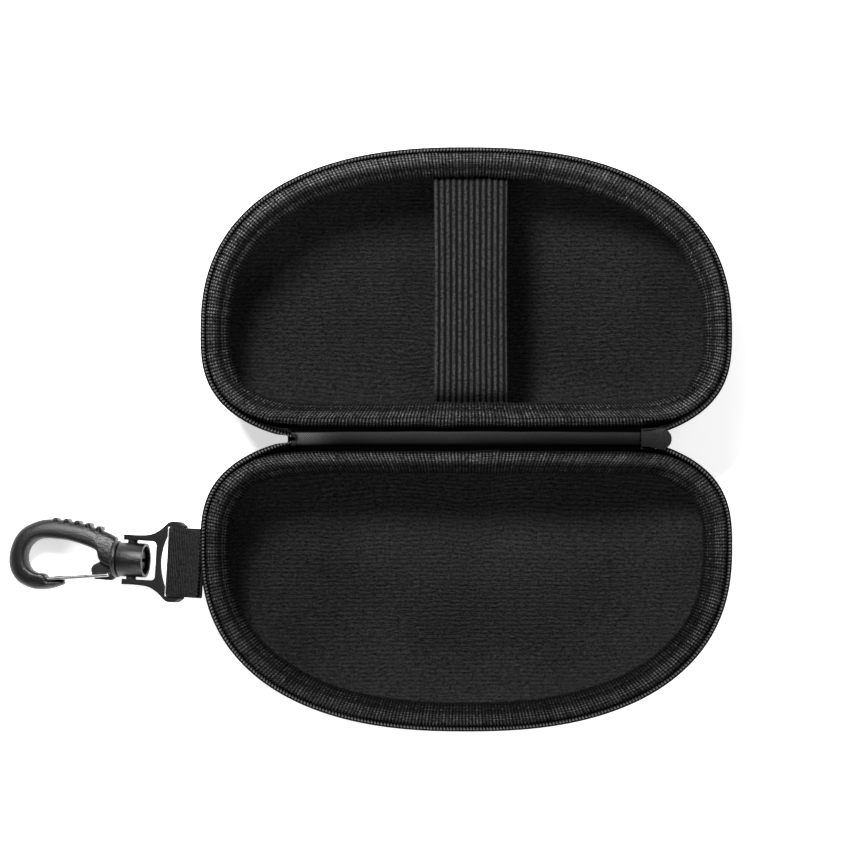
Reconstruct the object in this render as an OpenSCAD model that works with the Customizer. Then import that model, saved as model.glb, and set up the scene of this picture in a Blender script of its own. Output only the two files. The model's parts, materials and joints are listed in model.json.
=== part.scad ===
// Zipped hard-shell case for eyeglasses, lying fully open, with a swivel snap hook on its end.
// Millimetres. +X runs along the hinge, +Y towards the lid, +Z up. The origin is under the middle.

/* [Case] */
// Length of the case along the hinge
case_length = 160; // [150:1:175]
// Distance from the hinge line to the widest line of a half
belly = 32.2; // [30:0.1:36]
// Reach of the curved side beyond the widest line
far_reach = 55.7; // [50:0.1:60]
// Reach of the hinge side inside the widest line, before it is cut off by the spine
near_reach = 36.6; // [34:0.1:40]
// Height of the hinge line and the rims above the table
rim_height = 30; // [28:0.5:36]

/* [Layers] */
// Thickness of the outer fabric
cover_t = 0.6; // [0.4:0.1:0.6]
// Thickness of the moulded foam core
core_t = 3.2; // [2.6:0.1:3.2]
// Thickness of the knitted lining
lining_t = 0.7; // [0.5:0.1:0.8]

/* [Elastic band] */
// Width of the elastic band across the lid
band_width = 22.4; // [15:0.1:30]
// Place of the band's middle along the hinge, from the middle of the case
band_x = 1.4; // [-20:0.1:20]
// Thickness of the elastic band
band_t = 1.0; // [0.6:0.1:1.4]

/* [Zip] */
// Depth of the zip coil in section
coil_d = 1.5; // [1.2:0.1:1.5]
// Length of the slider
slider_length = 9.1; // [8:0.1:9.5]
// Greatest width of the slider
slider_width = 6.3; // [5.6:0.1:6.4]
// Length of the pull tab
pull_length = 19; // [14:1:22]

/* [Clip] */
// Width of the webbing
webbing_width = 20.4; // [18:0.1:20.4]
// Thickness of one layer of webbing
webbing_t = 1.2; // [1:0.1:1.3]
// Outer diameter of the swivel barrel
barrel_d = 10.4; // [10.2:0.1:10.8]
// Thickness of the hook
hook_t = 6.4; // [5:0.1:6.6]
// Diameter of the gate's wire
wire_d = 1.1; // [0.9:0.1:1.1]
// Turn of the clip about the vertical, towards the lid
clip_yaw = 3; // [0:0.5:4]
// Droop of the webbing loop below level
strap_droop = 42; // [36:1:44]
// Droop of the clip frame below level
frame_droop = 30; // [26:1:32]

/* [Hidden] */

// Outline of a half: a superellipse with its own exponent on each side of the widest line
half_length = case_length / 2;
far_power = 2.4;
near_power = 2.9;
spine_y = 2.0;        // where the spine side of the cover stands, from the hinge line
spine_blend = 2.4;    // softness of the corner between the curve and the spine
sides = 48;

// Dome of a half: rings shrink by these factors from the rim to the floor
rings = [0.985, 0.94, 0.85, 0.7, 0.5];
dome_power = 2.8;
wall_depth = 7.5;     // depth of the straight wall under the rim
dome_depth = rim_height + 1.4;
floor_shift = 8;      // how far the floor's middle lies beyond the widest line
spine_draft = 10;     // how far the spine side leans in towards the floor
rim_gap = 0.1;        // space under the rim plane, so that the closed rims meet without touching
cover_top = 3.4;      // depth of the cover's upper edge under the rim plane

// Insets of the layers from the outline, at the rim and in the dome
glue = 0.1;
tape_in = cover_t + 0.15;
tape_t = 0.6;
core_rim = tape_in + tape_t + 0.15;
core_body = cover_t + glue;
core_rim_t = 2.8;
lining_rim = core_rim + core_rim_t + glue;
lining_body = core_body + core_t + glue;

// Rim binding in section: [inset, depth] from its outer foot over the ridge to the free flap
binding_section = [
    [1.7, 3.3], [1.7, 1.3], [2.4, 0.4], [3.5, 0.15], [4.7, 0.4], [5.5, 1.2], [6.0, 2.6], [7.2, 3.1],
    [8.4, 4.6], [8.8, 6.6], [8.1, 6.8], [7.3, 5.0], [6.0, 3.6], [lining_rim + lining_t + 0.1, 3.3]
];

// Zip
coil_in = 0.95;       // inset of the coil's middle
coil_y = 1.0;         // nearest that the coil's middle comes to the hinge line
coil_first = -46;     // outline angle where the coil leaves the slider
coil_last = 236;      // outline angle where it ends at the other notch
coil_steps = 48;
tape_steps = 35;      // of the outline's own sides, so that the tape's facets lie along the cover's
tape_first = -5 * 360 / sides;
tape_last = tape_first + tape_steps * 360 / sides;
slider_x = 52.6;      // narrow end of the slider, from the middle of the case
plate_t = 0.8;
chain_gap = 1.7;      // room for the chain between the slider's plates
pull_x = slider_x + 7.6;
pull_pin_d = 1.0;
pull_z = -(chain_gap + plate_t + 1.7);
pull_width = 3.6;
grip_length = 11;

// Clip, measured from the trunnion that carries the barrel; u runs towards the hook's tip
strap_x = -(half_length + 2.0);
strap_y = -37.3;
strap_z = rim_height - 3.8;
strap_length = 7.6;   // from the strap's root to the frame's rear bar
bar_back = 15.6;      // from the trunnion back to the rear bar
bar_d = 2.8;
loop_gap = 0.05;
run_gap = 0.05;       // running clearance of every pin
frame_t = 3.0;
ear_in = 5.9;
ear_out = 7.55;
ear_tip = 2.4;
lug_in = webbing_width / 2 + 0.25;
lug_back = 18.6;
slot_front = 13.2;    // front of the webbing's slot
cross_back = 11.4;    // rear face of the cross bar in the middle, where the slot is bowed
cross_bow = 16.5;     // radius of the bow
window_back = 9.4;
trunnion_d = 3.0;
barrel_front = 3.6;
barrel_back = 4.4;
recess_d = 8.6;
recess_floor = 1.9;
stem_d = 5.0;
hook_ahead = 0.7;     // from the trunnion to the place that the hook's own points are measured from
hook_reach = 38.6;    // from the trunnion to the hook's tip
collar_d = 11.2;
gate_pivot = [6.2, -5.0];
gate_end = [25.3, -7.2];
gate_spread = 1.65;   // from the middle plane to each strand
lug_half_t = 1.0;
tongue_half_t = 0.9;

// Outer and inner edge of the hook, and the lug that carries the gate, as [u, v] from hook_ahead
hook_outer = [
    [4.4, 6.7], [12.1, 9.3], [20, 10.45], [27.5, 10.7], [33.6, 8.2], [37.1, 3.2], [37.7, -2.8],
    [35, -8.2], [29.6, -10.4], [24.4, -10.0], [20.0, -8.0]
];
hook_inner = [
    [26, -5.4], [29.8, -4.9], [32.1, -2.4], [32.2, 1.2], [30, 4.2], [25.8, 5.1], [18.7, 4.7],
    [12, 2.9], [9.4, 1.5], [9.3, -0.7]
];
hook_lug = [
    [4.4, -2], [4.4, -5.9], [5.4, -6.6], [10.6, -6.5], [11.8, -4.4], [12, -3.3], [11.2, -2.1], [9, -1]
];
hook_tongue = [[20.4, -8.3], [20.3, -6.4], [21.4, -5.9], [24, -6.3], [24.6, -7.0], [24.6, -8.3]];
frame_flank = [
    [ear_tip, ear_out], [-3, ear_out], [-7.4, 8.0], [-10.8, 9.7], [-13.6, 11.9], [-16.4, 12.1],
    [-18.4, 10.9]
];

// Trunnion height over the table, and the droop that lays the hook's tip on it
trunnion_z = strap_z - strap_length * sin(strap_droop) - bar_back * sin(frame_droop);
tip_radius = norm([hook_reach, hook_t / 2]);
hook_droop = asin((trunnion_z - 0.05) / tip_radius) - atan(hook_t / 2 / hook_reach);
clip_reach = strap_length * cos(strap_droop) + bar_back * cos(frame_droop)
    + hook_reach * cos(hook_droop) + hook_t / 2 * sin(hook_droop);
case_x = (clip_reach * cos(clip_yaw) - strap_x - half_length) / 2;

// ---- functions ----

function signed_pow(v, p) = sign(v) * pow(abs(v), p);

function soft_max(a, b, k) = (a + b + sqrt((a - b) * (a - b) + k * k)) / 2;

// Point of the outline at angle t, moved in by s, on the ring that shrinks it by r
function edge(t, s, r = 1) =
    let (
        far = sin(t) >= 0,
        p = 2 / (far ? far_power : near_power),
        reach = (far ? far_reach : near_reach) - s,
        y = belly + (1 - r) * floor_shift + r * reach * signed_pow(sin(t), p)
    )
    [
        r * (half_length - s) * signed_pow(cos(t), p),
        soft_max(y, spine_y + s + (1 - r) * spine_draft, spine_blend)
    ];

// Same point for the zip's coil, which runs on to the hinge line
function coil_edge(t, s) =
    let (
        far = sin(t) >= 0,
        p = 2 / (far ? far_power : near_power),
        reach = (far ? far_reach : near_reach) - s
    )
    [
        (half_length - s) * signed_pow(cos(t), p),
        soft_max(belly + reach * signed_pow(sin(t), p), coil_y, 0.6)
    ];

// Depth under the rim plane of the dome at ring r, for a surface moved in by s
function dome(r, s) =
    wall_depth + (dome_depth - s - wall_depth) * pow(1 - pow(r, dome_power), 1 / dome_power);

function ring(s, r, depth) =
    [for (i = [0 : sides - 1]) let (e = edge(i * 360 / sides, s, r)) [e[0], e[1], rim_height - depth]];

// Every ring of a bowl's surface, from its upper edge to the floor's middle
function surface_points(top, s_rim, s_body, lowest) = concat(
    ring(s_rim, 1, top),
    ring(s_rim, 1, wall_depth),
    [for (r = rings) each ring(s_body, r, min(dome(r, s_body), lowest))],
    [[0, belly + floor_shift, rim_height - min(dome(0, s_body), lowest)]]
);

// Points of a smooth open curve through the given ones
function curve(p, n = 4) = concat(
    [for (i = [0 : len(p) - 2], j = [0 : n - 1])
        let (
            a = p[max(i - 1, 0)],
            b = p[i],
            c = p[i + 1],
            d = p[min(i + 2, len(p) - 1)],
            t = j / n
        )
        b + t / 2 * ((c - a) + t * ((2 * a - 5 * b + 4 * c - d) + t * (3 * b - a - 3 * c + d)))],
    [p[len(p) - 1]]
);

// ---- shape helpers ----

// Closed bowl between an outer and an inner surface
module bowl(top, out_rim, out_body, in_rim, in_body, outer_lowest) {
    levels = len(rings) + 2;
    count = sides * levels + 1;
    points = concat(
        surface_points(top, out_rim, out_body, outer_lowest),
        surface_points(top, in_rim, in_body, rim_height - in_body)
    );
    walls = [for (l = [0 : levels - 2], i = [0 : sides - 1])
        let (a = l * sides + i, b = l * sides + (i + 1) % sides)
        each [
            [a, b, b + sides], [a, b + sides, a + sides],
            [count + b, count + a, count + b + sides], [count + a, count + a + sides, count + b + sides]
        ]];
    floors = [for (i = [0 : sides - 1])
        let (a = (levels - 1) * sides + i, b = (levels - 1) * sides + (i + 1) % sides)
        each [[a, b, count - 1], [count + b, count + a, 2 * count - 1]]];
    edges = [for (i = [0 : sides - 1])
        let (b = (i + 1) % sides)
        each [[b, i, count + i], [b, count + i, count + b]]];
    polyhedron(points, concat(walls, floors, edges), convexity = 4);
}

// Band of constant section round the outline, closed or from one angle to another
module rim_sweep(section, first, last, steps, closed, on_coil = false) {
    count = len(section);
    stations = closed ? steps : steps + 1;
    points = [for (k = [0 : stations - 1], q = section)
        let (
            t = first + (last - first) * k / steps,
            e = on_coil ? coil_edge(t, q[0]) : edge(t, q[0])
        )
        [e[0], e[1], rim_height - q[1]]];
    walls = [for (k = [0 : steps - 1], i = [0 : count - 1])
        let (
            a = k * count + i,
            b = k * count + (i + 1) % count,
            c = ((k + 1) % stations) * count + i,
            d = ((k + 1) % stations) * count + (i + 1) % count
        )
        each [[a, b, d], [a, d, c]]];
    caps = closed ? [] : [
        [for (i = [count - 1 : -1 : 0]) i],
        [for (i = [0 : count - 1]) (stations - 1) * count + i]
    ];
    polyhedron(points, concat(walls, caps), convexity = 6);
}

module at_case() {
    translate([case_x, 0, 0])
        children();
}

module lower_side() {
    at_case()
        mirror([0, 1, 0])
            children();
}

// Strap, frame and hook each stand in their own drooped frame: local +X points to the hook's tip
module at_strap() {
    translate([case_x + strap_x, strap_y, strap_z])
        rotate([0, 0, 180 - clip_yaw])
            rotate([0, strap_droop, 0])
                children();
}

module at_trunnion(droop) {
    translate([case_x + strap_x, strap_y, strap_z])
        rotate([0, 0, 180 - clip_yaw])
            translate([
                strap_length * cos(strap_droop) + bar_back * cos(frame_droop),
                0,
                -strap_length * sin(strap_droop) - bar_back * sin(frame_droop)
            ])
                rotate([0, droop, 0])
                    mirror([0, 1, 0])
                        children();
}

// Round bar across the clip
module cross_pin(d, from, to) {
    translate([0, from, 0])
        rotate([-90, 0, 0])
            cylinder(h = to - from, d = d, $fn = 48);
}

// Round bar along the clip
module long_pin(d, from, to) {
    translate([from, 0, 0])
        rotate([0, 90, 0])
            cylinder(h = to - from, d = d, $fn = 64);
}

// ---- the two halves ----

module half_cover() {
    difference() {
        bowl(cover_top, 0, 0, cover_t, cover_t, dome_depth);
        translate([-case_length, -belly, -rim_height])
            cube([2 * case_length, 6 * belly, rim_height]);
    }
}

module half_core() {
    bowl(cover_top, core_rim, core_body, core_rim + core_rim_t, core_body + core_t, rim_height - core_body);
}

module half_lining() {
    bowl(
        cover_top, lining_rim, lining_body, lining_rim + lining_t, lining_body + lining_t,
        rim_height - lining_body
    );
}

module half_binding() {
    rim_sweep(binding_section, 0, 360, sides, true);
}

module half_zip_tape() {
    section = [
        [tape_in, rim_gap + coil_d + 0.1], [tape_in + tape_t, rim_gap + coil_d + 0.1],
        [tape_in + tape_t, wall_depth], [tape_in, wall_depth]
    ];
    rim_sweep(section, tape_first, tape_last, tape_steps, false);
}

module half_zip_coil() {
    coil_r = coil_d / 2;
    section = [for (i = [0 : 5])
        [coil_in - coil_r * cos(i * 60), rim_gap + coil_r - coil_r * sin(i * 60)]];
    rim_sweep(section, coil_first, coil_last, coil_steps, false, true);
}

module half_top_stop() {
    stop_end = coil_edge(coil_last, coil_in);
    translate([stop_end[0] + 0.3, stop_end[1] - 0.7, rim_height - rim_gap - coil_d])
        cube([1.5, 1.4, coil_d]);
}

module lower_cover() {
    color("#1b1b1c")
        lower_side()
            half_cover();
}

module lower_core() {
    color("#2c2c2e")
        lower_side()
            half_core();
}

module lower_lining() {
    color("#141414")
        lower_side()
            half_lining();
}

module lower_binding() {
    color("#262626")
        lower_side()
            half_binding();
}

module lower_zip_tape() {
    color("#101010")
        lower_side()
            half_zip_tape();
}

module lower_zip_coil() {
    color("#3a3a3a")
        lower_side()
            half_zip_coil();
}

module lower_top_stop() {
    color("#303030")
        lower_side()
            half_top_stop();
}

module lid_cover() {
    color("#1b1b1c")
        at_case()
            half_cover();
}

module lid_core() {
    color("#2c2c2e")
        at_case()
            half_core();
}

module lid_lining() {
    color("#141414")
        at_case()
            half_lining();
}

module lid_binding() {
    color("#262626")
        at_case()
            half_binding();
}

module lid_zip_tape() {
    color("#101010")
        at_case()
            half_zip_tape();
}

module lid_zip_coil() {
    color("#3a3a3a")
        at_case()
            half_zip_coil();
}

module lid_top_stop() {
    color("#303030")
        at_case()
            half_top_stop();
}

// Stretched across the mouth of the lid, from flap to flap of the binding
module elastic_band() {
    flap_in = 8.8;
    first_y = spine_y + flap_in + 0.35;
    last_y = edge(90, flap_in)[1] - 0.6;
    color("#2a2a2a")
        at_case()
            translate([band_x - band_width / 2, first_y, rim_height - 5.4])
                cube([band_width, last_y - first_y, band_t]);
}

// Fabric strip that joins the two spines
module hinge_strip() {
    strip_first = -51.6;
    strip_last = slider_x - 0.2;
    strip_half = 1.8;
    color("#353535")
        at_case()
            translate([strip_first, -strip_half, rim_height - 2.8])
                cube([strip_last - strip_first, 2 * strip_half, 1.0]);
}

// ---- zip slider ----

module slider_plan() {
    round_x = slider_length - slider_width / 2;
    neck_half = 0.7 * slider_width / 2;
    translate([round_x, 0])
        circle(d = slider_width, $fn = 64);
    polygon([
        [0, neck_half], [2.4, neck_half + 0.1], [round_x, slider_width / 2],
        [round_x, -slider_width / 2], [2.4, -neck_half - 0.1], [0, -neck_half]
    ]);
}

// Two plates on a wedge post, with a bail on the outer plate for the pull
module slider_body() {
    bail_half = 1.25;
    color("#2f2f31")
        at_case()
            translate([0, 0, rim_height]) {
                translate([slider_x, 0, 0])
                    linear_extrude(plate_t)
                        slider_plan();
                translate([slider_x, 0, -chain_gap - plate_t])
                    linear_extrude(plate_t)
                        slider_plan();
                translate([slider_x + slider_length - 2.6, -0.6, -chain_gap])
                    cube([1.8, 1.2, chain_gap]);
                for (side = [-1, 1])
                    translate([pull_x - 0.9, side * (bail_half - 0.3) - 0.3, pull_z - 0.9])
                        cube([1.8, 0.6, 0.95 - pull_z - chain_gap - plate_t]);
                translate([pull_x, 0, pull_z])
                    cross_pin(pull_pin_d, -bail_half, bail_half);
            }
}

// Crimped across both tapes at the slider's narrow end
module bottom_stop() {
    color("#303030")
        at_case()
            translate([slider_x - 2.6, -1, rim_height - 4.2])
                cube([2.3, 2, 1.2]);
}

// Flat tab that hangs from the bail
module slider_pull() {
    neck = 1.2;
    color("#3c3c3e")
        at_case()
            translate([pull_x, 0, rim_height + pull_z])
                difference() {
                    union() {
                        cross_pin(2.2, -neck / 2, neck / 2);
                        translate([-0.6, -neck / 2, -3.4])
                            cube([1.2, neck, 3.4]);
                        translate([-0.6, -pull_width / 2, -(pull_length - grip_length) - 0.6])
                            cube([1.2, pull_width, pull_length - grip_length - 2.4]);
                        translate([-0.6, -neck / 2, -pull_length + 2])
                            cube([1.2, neck, grip_length]);
                    }
                    cross_pin(pull_pin_d + 2 * run_gap, -neck, neck);
                }
}

// Moulded grip on the tab's lower end
module pull_grip() {
    grip_t = 2.4;
    slot = 0.05;
    color("#1c1c1c")
        at_case()
            translate([pull_x, 0, rim_height + pull_z])
                difference() {
                    translate([-grip_t / 2, -pull_width / 2, -pull_length])
                        cube([grip_t, pull_width, grip_length - 0.7]);
                    translate([-0.6 - slot, -0.6 - slot, -pull_length + 2 - slot])
                        cube([1.2 + 2 * slot, 1.2 + 2 * slot, grip_length]);
                }
}

// ---- clip ----

// Webbing doubled back on itself round the frame's rear bar
module webbing_loop() {
    root_r = webbing_t + 0.05;
    eye_r = bar_d / 2 + loop_gap;
    loop_r = eye_r + webbing_t;
    slant = asin((loop_r - root_r) / strap_length);
    half_width = webbing_width / 2;
    color("#202020")
        at_strap()
            difference() {
                union() {
                    cross_pin(2 * root_r, -half_width, half_width);
                    translate([strap_length, 0, 0])
                        cross_pin(2 * loop_r, -half_width, half_width);
                    rotate([90, 0, 0])
                        linear_extrude(webbing_width, center = true)
                            polygon([
                                [-sin(slant) * root_r, cos(slant) * root_r],
                                [strap_length - sin(slant) * loop_r, cos(slant) * loop_r],
                                [strap_length - sin(slant) * loop_r, -cos(slant) * loop_r],
                                [-sin(slant) * root_r, -cos(slant) * root_r]
                            ]);
                }
                translate([strap_length, 0, 0])
                    cross_pin(2 * eye_r, -webbing_width, webbing_width);
            }
}

module frame_plan() {
    flank = curve(frame_flank);
    polygon(concat(flank, [for (i = [len(flank) - 1 : -1 : 0]) [flank[i][0], -flank[i][1]]]));
}

// Everything cut out of the frame's plan: the window for the barrel, and the webbing's slot with its bow
module frame_cuts() {
    corner_r = 1.3;
    translate([-window_back + corner_r, -ear_in])
        square([window_back + 2 * ear_tip, 2 * ear_in]);
    translate([-window_back, -ear_in + corner_r])
        square([window_back, 2 * (ear_in - corner_r)]);
    for (side = [-1, 1])
        translate([-window_back + corner_r, side * (ear_in - corner_r)])
            circle(r = corner_r, $fn = 32);
    translate([-2 * lug_back, -lug_in])
        square([2 * lug_back - slot_front, 2 * lug_in]);
    intersection() {
        translate([-slot_front - 1, -lug_in])
            square([2 * lug_in, 2 * lug_in]);
        translate([-cross_back - cross_bow, 0])
            circle(r = cross_bow, $fn = 96);
    }
}

// Leans a cut so that its walls stand upright while the frame droops, and meet the top face in place
module upright_from_top() {
    lean = tan(frame_droop);
    multmatrix([[1, 0, -lean, lean * frame_t / 2], [0, 1, 0, 0], [0, 0, 1, 0]])
        children();
}

// Fork with two stub trunnions, a bowed cross bar and the rear bar that the webbing holds
module clip_frame() {
    stub_in = 3.5;
    color("#2b2b2c")
        at_trunnion(frame_droop) {
            difference() {
                translate([0, 0, -frame_t / 2])
                    linear_extrude(frame_t)
                        frame_plan();
                upright_from_top()
                    translate([0, 0, -2 * frame_t])
                        linear_extrude(4 * frame_t)
                            frame_cuts();
            }
            translate([-bar_back, 0, 0])
                cross_pin(bar_d, -lug_in - 0.8, lug_in + 0.8);
            cross_pin(trunnion_d, stub_in, ear_in + 0.6);
            cross_pin(trunnion_d, -ear_in - 0.6, -stub_in);
        }
}

module swivel_barrel() {
    hole_in = 3.3;
    color("#242425")
        at_trunnion(hook_droop)
            difference() {
                long_pin(barrel_d, -barrel_back, barrel_front);
                long_pin(recess_d, -barrel_back - 1, -recess_floor);
                long_pin(stem_d + 2 * run_gap, -barrel_back, barrel_front + 1);
                cross_pin(trunnion_d + 2 * run_gap, hole_in, barrel_d);
                cross_pin(trunnion_d + 2 * run_gap, -barrel_d, -hole_in);
            }
}

// Slab of the hook between two heights about its middle plane
module hook_slab(points, half_t) {
    translate([0, 0, -half_t])
        linear_extrude(2 * half_t)
            polygon(points);
}

// Hook with its thumb ribs, gate lug, nose tongue and the split stem that snaps into the barrel
module hook_body() {
    nose = [[20.4, -7.9], [26, -7.9]];
    root = [[7.4, -2.3], [4.4, -3.2]];
    body = concat(curve(hook_outer), nose, curve(hook_inner), root);
    rib_step = 3.5;
    collar_back = barrel_front + 0.2;
    head_d = 7.2;
    head_back = recess_floor + 1.5;
    color("#272728")
        at_trunnion(hook_droop)
            difference() {
                union() {
                    translate([hook_ahead, 0, 0]) {
                        hook_slab(body, hook_t / 2);
                        hook_slab(hook_lug, lug_half_t);
                        hook_slab(hook_tongue, tongue_half_t);
                        for (i = [0 : 4])
                            translate([23.8 - i * rib_step, 10.75 - 0.0095 * pow(i * rib_step, 2), -2.3])
                                cylinder(h = 4.6, r = 0.75, $fn = 24);
                    }
                    long_pin(collar_d, collar_back, collar_back + 1.5);
                    long_pin(stem_d, -head_back, collar_back + 0.9);
                    long_pin(head_d, -head_back, -recess_floor - 0.1);
                }
                translate([hook_ahead + gate_pivot[0], gate_pivot[1], -hook_t])
                    cylinder(h = 2 * hook_t, d = wire_d + 2 * run_gap, $fn = 32);
                translate([-head_back - 1, -head_d, -0.5])
                    cube([head_back - 1, 2 * head_d, 1]);
            }
}

// Steel wire bent into a long loop, sprung shut against the nose
module wire_gate() {
    run = gate_end - gate_pivot;
    heading = atan2(run[1], run[0]);
    color("#c8c8c8")
        at_trunnion(hook_droop)
            translate([hook_ahead + gate_pivot[0], gate_pivot[1], 0])
                rotate([0, 0, heading]) {
                    for (side = [-1, 1])
                        translate([0, 0, side * gate_spread]) {
                            long_pin(wire_d, 0, norm(run));
                            sphere(d = wire_d, $fn = 32);
                            translate([norm(run), 0, 0])
                                sphere(d = wire_d, $fn = 32);
                        }
                    translate([0, 0, -gate_spread])
                        cylinder(h = 2 * gate_spread, d = wire_d, $fn = 32);
                    translate([norm(run), 0, -gate_spread])
                        cylinder(h = 2 * gate_spread, d = wire_d, $fn = 32);
                }
}

lower_cover();
lower_core();
lower_lining();
lower_binding();
lower_zip_tape();
lower_zip_coil();
lower_top_stop();
lid_cover();
lid_core();
lid_lining();
lid_binding();
lid_zip_tape();
lid_zip_coil();
lid_top_stop();
elastic_band();
hinge_strip();
slider_body();
bottom_stop();
slider_pull();
pull_grip();
webbing_loop();
clip_frame();
swivel_barrel();
hook_body();
wire_gate();
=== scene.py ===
"""Zipped hard-shell case for eyeglasses, lying open, with a swivel snap hook on its end."""

import json
import math

import bmesh
import bpy
import numpy as np
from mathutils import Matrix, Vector


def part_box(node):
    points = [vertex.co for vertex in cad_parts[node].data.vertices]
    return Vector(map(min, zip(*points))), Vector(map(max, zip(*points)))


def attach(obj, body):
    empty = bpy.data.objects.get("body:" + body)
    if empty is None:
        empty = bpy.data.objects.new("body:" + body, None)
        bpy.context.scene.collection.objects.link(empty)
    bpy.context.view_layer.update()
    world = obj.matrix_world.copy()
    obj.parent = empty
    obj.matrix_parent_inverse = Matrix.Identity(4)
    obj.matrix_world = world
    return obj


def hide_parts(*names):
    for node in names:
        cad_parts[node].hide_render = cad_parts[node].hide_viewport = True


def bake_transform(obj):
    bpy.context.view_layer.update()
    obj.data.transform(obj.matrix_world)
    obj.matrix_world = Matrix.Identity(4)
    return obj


MM = 0.001

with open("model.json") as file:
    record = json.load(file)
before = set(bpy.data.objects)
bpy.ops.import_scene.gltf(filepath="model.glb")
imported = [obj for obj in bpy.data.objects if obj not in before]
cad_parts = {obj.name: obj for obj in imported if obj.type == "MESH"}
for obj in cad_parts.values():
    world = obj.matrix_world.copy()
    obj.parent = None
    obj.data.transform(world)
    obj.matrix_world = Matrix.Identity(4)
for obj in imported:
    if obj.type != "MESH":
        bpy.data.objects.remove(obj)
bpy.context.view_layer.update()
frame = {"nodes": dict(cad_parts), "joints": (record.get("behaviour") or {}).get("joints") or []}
joints = {j["name"]: j for j in frame["joints"]}

# ---------------------------------------------------------------- places and outline
# Lengths are in millimetres. place() and clip_points() turn them into metres of the row frame.
# Depths are measured down from the top of the rim, and y away from the hinge line.

CASE_X, _, RIM_Z = (c / MM for c in joints["lid_hinge"]["pos_m"])
HALF_LENGTH = (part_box("lower_cover")[1].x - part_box("lower_cover")[0].x) / MM / 2

# Outline of a half, as in the CAD source
BELLY = 32.2
FAR_REACH, FAR_POWER = 55.7, 2.4
NEAR_REACH, NEAR_POWER = 36.6, 2.9
SPINE_Y, SPINE_BLEND, SPINE_DRAFT = 2.0, 2.4, 10.0
ZIP_SPINE_Y, ZIP_SPINE_BLEND = 1.0, 0.6
FLOOR_SHIFT = 8.0
WALL_DEPTH = 7.5
DOME_POWER = 2.8
DOME_DEPTH = RIM_Z + 1.4
COVER_TOP = 3.4
SIDES = {"lower": -1.0, "lid": 1.0}

rng = np.random.default_rng(7)


def signed_pow(v, p):
    return np.sign(v) * np.abs(v) ** p


def soft_max(a, b, k):
    return (a + b + np.sqrt((a - b) ** 2 + k * k)) / 2


def oval(t, s, r):
    """Point at angle t (radians) of the oval that is moved in by s and shrunk by r, from its middle."""
    far = np.sin(t) >= 0
    p = 2 / np.where(far, FAR_POWER, NEAR_POWER)
    reach = np.where(far, FAR_REACH, NEAR_REACH) - s
    return r * (HALF_LENGTH - s) * signed_pow(np.cos(t), p), r * reach * signed_pow(np.sin(t), p)


def edge(t, s, r=1.0):
    """Point of a half's outline at angle t, moved in by s, on the ring shrunk by r."""
    t, s, r = np.broadcast_arrays(*(np.asarray(v, float) for v in (t, s, r)))
    x, y = oval(t, s, r)
    y = BELLY + (1 - r) * FLOOR_SHIFT + y
    return x, soft_max(y, SPINE_Y + s + (1 - r) * SPINE_DRAFT, SPINE_BLEND)


def coil_edge(t, s):
    """The same for the zip's coil, which runs on to the hinge line."""
    t, s = np.broadcast_arrays(np.asarray(t, float), np.asarray(s, float))
    x, y = oval(t, s, 1.0)
    return x, soft_max(BELLY + y, ZIP_SPINE_Y, ZIP_SPINE_BLEND)


def dome(r, s):
    """Depth of the shell on the ring shrunk by r, with its surface moved in by s."""
    return WALL_DEPTH + (DOME_DEPTH - s - WALL_DEPTH) * (1 - r**DOME_POWER) ** (1 / DOME_POWER)


def even_stations(path, first, last, count, closed):
    """Angles that lie evenly along a path, the run to each, and the whole run."""
    t = np.linspace(first, last, 24001)
    x, y = path(t)
    run = np.concatenate([[0], np.cumsum(np.hypot(np.diff(x), np.diff(y)))])
    along = np.linspace(0, run[-1], count + 1)
    if closed:
        along = along[:-1]
    return np.interp(along, run, t), along, run[-1]


def rim_stations(inset, count):
    """Even stations all round a half's outline, at that inset."""
    return even_stations(lambda t: edge(t, inset), 0, 2 * math.pi, count, True)


def stacked(*values):
    """Arrays stretched to one shape and stacked as the last axis."""
    return np.stack(np.broadcast_arrays(*values), -1)


def place(x, y, depth, side):
    """Case coordinates to the row frame, in metres. Side is -1 in the lower half and 1 in the lid."""
    return stacked(x + CASE_X, side * y, RIM_Z - depth) * MM


# ---------------------------------------------------------------- lines and sections


def unit(vectors):
    return vectors / np.linalg.norm(vectors, axis=-1, keepdims=True)


def run_along(points):
    """Distance along a line of points, from 0 at the first."""
    return np.concatenate([[0], np.cumsum(np.linalg.norm(np.diff(points, axis=0), axis=1))])


def loop_area(points):
    """Area inside a closed line of points in a plane, positive if it runs anticlockwise."""
    after = np.roll(points, -1, 0)
    return np.sum(points[:, 0] * after[:, 1] - after[:, 0] * points[:, 1]) / 2


def smooth_curve(points, n, closed=False):
    """Catmull-Rom curve through points, with n steps to a span."""
    p = np.asarray(points, float)
    count = len(p)
    out = []
    for i in range(count if closed else count - 1):
        pick = [(i + k) % count if closed else min(max(i + k, 0), count - 1) for k in (-1, 0, 1, 2)]
        a, b, c, d = p[pick]
        for j in range(n):
            t = j / n
            bend = (2 * a - 5 * b + 4 * c - d) + t * (3 * b - a - 3 * c + d)
            out.append(b + t / 2 * ((c - a) + t * bend))
    return np.array(out if closed else out + [p[-1]])


def section_normals(section):
    """Outward normals of a closed section."""
    ahead = np.roll(section, -1, 0) - np.roll(section, 1, 0)
    normal = unit(np.stack([ahead[:, 1], -ahead[:, 0]], -1))
    return normal if loop_area(section) > 0 else -normal


def circle(count):
    """Angles evenly round a circle."""
    return np.arange(count) * 2 * math.pi / count


# ---------------------------------------------------------------- meshes


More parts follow.
